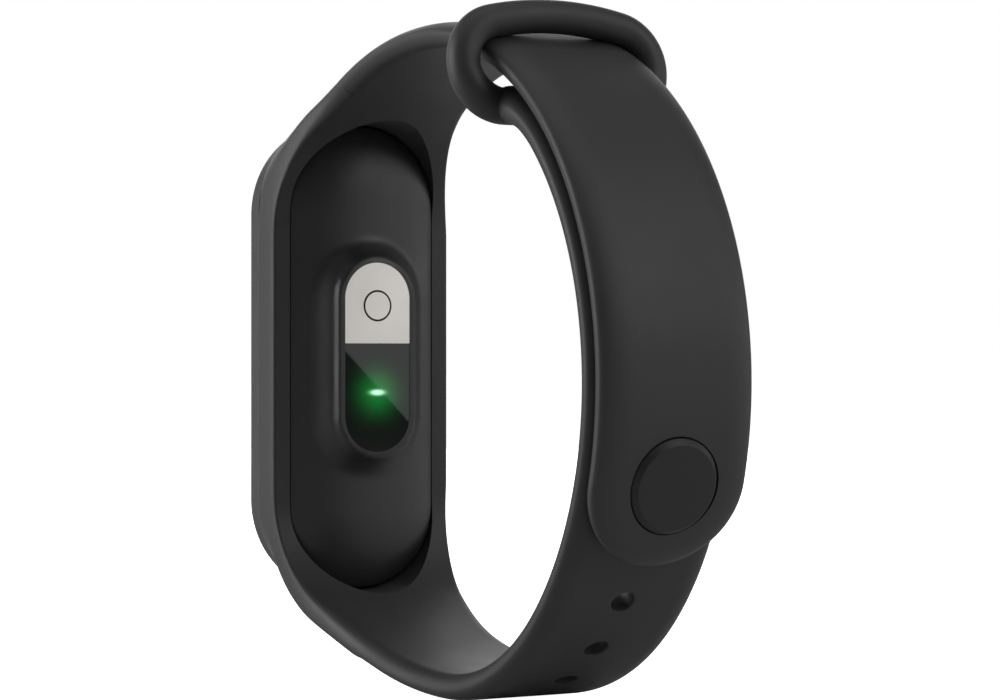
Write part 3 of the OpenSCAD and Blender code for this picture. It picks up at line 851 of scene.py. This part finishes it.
def add_ring_line(material, centre_z, radius, half_wide):
    """Darkens a thin ring line: points whose distance from the X axis through centre_z is the radius,
    give or take half_wide."""
    tree = material.node_tree
    place = tree.nodes.new("ShaderNodeTexCoord")
    shift = tree.nodes.new("ShaderNodeMapping")
    shift.inputs["Location"].default_value = (0, 0, -centre_z)
    shift.inputs["Scale"].default_value = (0, 1, 1)
    length = tree.nodes.new("ShaderNodeVectorMath")
    length.operation = "LENGTH"
    mask = tree.nodes.new("ShaderNodeMath")
    mask.operation = "COMPARE"
    mask.inputs[1].default_value = radius
    mask.inputs[2].default_value = half_wide
    mix = tree.nodes.new("ShaderNodeMix")
    mix.data_type = "RGBA"
    mix.inputs["B"].default_value = (*RING_COLOR, 1)
    base = tree.nodes["Principled BSDF"].inputs["Base Color"]
    tree.links.new(base.links[0].from_socket, mix.inputs["A"])
    tree.links.new(place.outputs["Object"], shift.inputs["Vector"])
    tree.links.new(shift.outputs["Vector"], length.inputs[0])
    tree.links.new(length.outputs["Value"], mask.inputs[0])
    tree.links.new(mask.outputs["Value"], mix.inputs["Factor"])
    tree.links.new(mix.outputs["Result"], base)


print("effects ready: glow, ring line")

# %% [markdown]
# ## Materials of the tracker band
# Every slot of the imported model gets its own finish. What is seen most is matt silicone and fine
# black plastic, both nearly black, so their difference lies in gloss and not in colour. The inner
# parts have plausible finishes too, for anyone who takes the tracker apart.

# %% Materials
CORE_STRENGTH, HALO_STRENGTH = 2.2, 0.22
DISC_Z, DISC_R, RING_HALF = 5.15, 1.47, 0.1
FINISHES = {
    "silicone": finish("silicone", (0.019, 0.019, 0.0195), 0.55, spread=0.04, bump=0.12, specular=0.37),
    "stud_plastic": finish("stud_plastic", (0.012, 0.012, 0.0125), 0.5, bump=0.08, specular=0.3),
    "cover_glass": finish("cover_glass", (0.006, 0.006, 0.008), 0.06, spread=0.02, bump=0.0, coat=0.6),
    "adhesive": finish("adhesive", (0.05, 0.05, 0.05), 0.8, bump=0.4),
    "case_plastic": finish("case_plastic", (0.013, 0.013, 0.014), 0.46, spread=0.05, bump=0.1),
    "seal_rubber": finish("seal_rubber", (0.07, 0.07, 0.075), 0.7, bump=0.3),
    "display": finish("display", (0.01, 0.01, 0.016), 0.15, bump=0.0),
    "flex_film": finish("flex_film", (0.5, 0.22, 0.05), 0.3, bump=0.1, tint=(0.4, 0.15, 0.03)),
    "gold_contact": finish("gold_contact", (0.83, 0.6, 0.25), 0.25, bump=0.1, metal=1.0),
    "circuit_board": finish("circuit_board", (0.015, 0.11, 0.05), 0.35, bump=0.3, tint=(0.03, 0.16, 0.07)),
    "chip_resin": finish("chip_resin", (0.02, 0.02, 0.02), 0.6, bump=0.4),
    "plated_steel": finish("plated_steel", (0.62, 0.61, 0.58), 0.3, bump=0.15, metal=1.0),
    "battery_foil": finish("battery_foil", (0.66, 0.66, 0.68), 0.38, bump=0.4, metal=1.0, fine=1500.0),
    "tape": finish("tape", (0.75, 0.74, 0.68), 0.8, bump=0.4),
    "rotor_metal": finish("rotor_metal", (0.35, 0.33, 0.3), 0.5, bump=0.4, metal=1.0),
    "led_resin": finish("led_resin", (0.25, 0.85, 0.4), 0.2, bump=0.0),
    "black_foam": finish("black_foam", (0.01, 0.01, 0.01), 0.9, bump=0.6, fine=3000.0),
    "sensor_glass": finish("sensor_glass", (0.003, 0.006, 0.004), 0.015, spread=0.005, bump=0.0),
    "sensor_silver": finish("sensor_silver", (0.62, 0.6, 0.57), 0.36, spread=0.03, bump=0.08, metal=0.85),
}
add_glow(FINISHES["sensor_glass"], CORE_STRENGTH, HALO_STRENGTH)
add_ring_line(FINISHES["sensor_silver"], DISC_Z * MM, DISC_R * MM, RING_HALF * MM)
print("finishes", len(FINISHES))

# %% Finishes put on the pieces
slot_of = {s["node"]: s["material_slot"] for s in frame["record"]["subparts"]}
for name, node in nodes.items():
    node.data.materials.clear()
    node.data.materials.append(FINISHES[slot_of[name]])
for piece in (lower_skin, upper_skin, keeper_skin):
    piece.data.materials.append(FINISHES["silicone"])
cap_skin.data.materials.append(FINISHES["stud_plastic"])
back_skin.data.materials.append(FINISHES["case_plastic"])
print("nodes with a finish", len(slot_of))

# %% [markdown]
# ## Studio
# A product on white is lit from large soft boxes, and the white behind it is a lit sweep. The floor
# is pale and, for rays from the camera only, has its brightness lifted, so that it runs into the
# white surround with no horizon and still throws no extra light on the dark band.

# %% Floor
FLOOR_HALF, FLOOR_DROP, FLOOR_LIFT = 3.0, 0.0002, 1.0
floor_z = cad_box[0][2] - FLOOR_DROP
corners = [(x * FLOOR_HALF, y * FLOOR_HALF, floor_z) for x, y in ((-1, -1), (1, -1), (1, 1), (-1, 1))]
floor_mesh = bpy.data.meshes.new("floor")
floor_mesh.from_pydata(corners, [], [(0, 1, 2, 3)])
floor = bpy.data.objects.new("floor", floor_mesh)
bpy.context.scene.collection.objects.link(floor)
floor_finish = finish("floor", (0.65, 0.65, 0.65), 0.7, bump=0.0, coarse=2.0, tint=(0.67, 0.67, 0.67))
floor_tree = floor_finish.node_tree
floor_rays = floor_tree.nodes.new("ShaderNodeLightPath")
floor_lift = floor_tree.nodes.new("ShaderNodeMath")
floor_lift.operation = "MULTIPLY"
floor_lift.inputs[1].default_value = FLOOR_LIFT
floor_tree.links.new(floor_rays.outputs["Is Camera Ray"], floor_lift.inputs[0])
floor_shader = floor_tree.nodes["Principled BSDF"]
floor_shader.inputs["Emission Color"].default_value = (1, 1, 1, 1)
floor_tree.links.new(floor_lift.outputs["Value"], floor_shader.inputs["Emission Strength"])
floor_mesh.materials.append(floor_finish)
print("floor height in mm", round(floor_z / MM, 2))

# %% Surround
SURROUND = 0.11
world = bpy.data.worlds.new("world")
world.use_nodes = True
world_tree = world.node_tree
world_tree.nodes["Background"].inputs["Color"].default_value = (1, 1, 1, 1)
world_rays = world_tree.nodes.new("ShaderNodeLightPath")
world_range = world_tree.nodes.new("ShaderNodeMapRange")
world_range.inputs["To Min"].default_value = SURROUND
world_range.inputs["To Max"].default_value = 1.0
world_tree.links.new(world_rays.outputs["Is Camera Ray"], world_range.inputs["Value"])
world_tree.links.new(world_range.outputs["Result"], world_tree.nodes["Background"].inputs["Strength"])
bpy.context.scene.world = world
bpy.context.scene.view_settings.view_transform = "Standard"
print("surround brightness", SURROUND)

# %% [markdown]
# The lamp behind draws the light rims, the left one lights the band's side wall, the key shapes the
# clasp side, and the side one lifts its far edge. The window box stands where the flat sensor window
# mirrors it towards the camera: turned on its corner, it leaves a diagonal edge across the glass.

# %% Lamps
def soft_lamp(name, place, size, radiance, turn=0.0, aim=(0, 0, 0)):
    """A soft box (width, height in metres) at a place, facing an aim point. Its power is its
    radiance times pi times its area, so a mirror facing it would look exactly that bright."""
    data = bpy.data.lights.new(name, "AREA")
    data.shape = "RECTANGLE"
    data.size, data.size_y = size
    data.energy = radiance * math.pi * size[0] * size[1]
    lamp = bpy.data.objects.new(name, data)
    lamp.location = place
    lamp.rotation_mode = "QUATERNION"
    face = (Vector(aim) - Vector(place)).to_track_quat("-Z", "Y")
    lamp.rotation_quaternion = face @ Quaternion((0, 0, 1), math.radians(turn))
    lamp.visible_camera = False
    bpy.context.scene.collection.objects.link(lamp)
    return lamp


soft_lamp("back_box", (-0.55, 0.31, 0.15), (0.8, 0.6), 1.9)
soft_lamp("left_box", (-0.30, -0.50, 0.10), (0.4, 0.5), 6.2)
soft_lamp("top_box", (0.05, 0.0, 0.6), (0.5, 0.5), 1.3)
soft_lamp("key_box", (0.38, 0.20, 0.30), (0.3, 0.3), 2.9)
soft_lamp("side_box", (0.16, 0.55, 0.05), (0.3, 0.4), 1.6)
# The window box is a square stood on its corner, with one side through window_edge
WINDOW_BOX = 0.30
window_edge = Vector((0.42, 0.2268, -0.0092))
window_place = window_edge + Vector((0, 0.707, 0.707)) * WINDOW_BOX / 2
soft_lamp("window_box", window_place, (WINDOW_BOX, WINDOW_BOX), 0.95, turn=45,
          aim=window_place - Vector((1, 0, 0)))
print("lamps", len(bpy.data.lights))
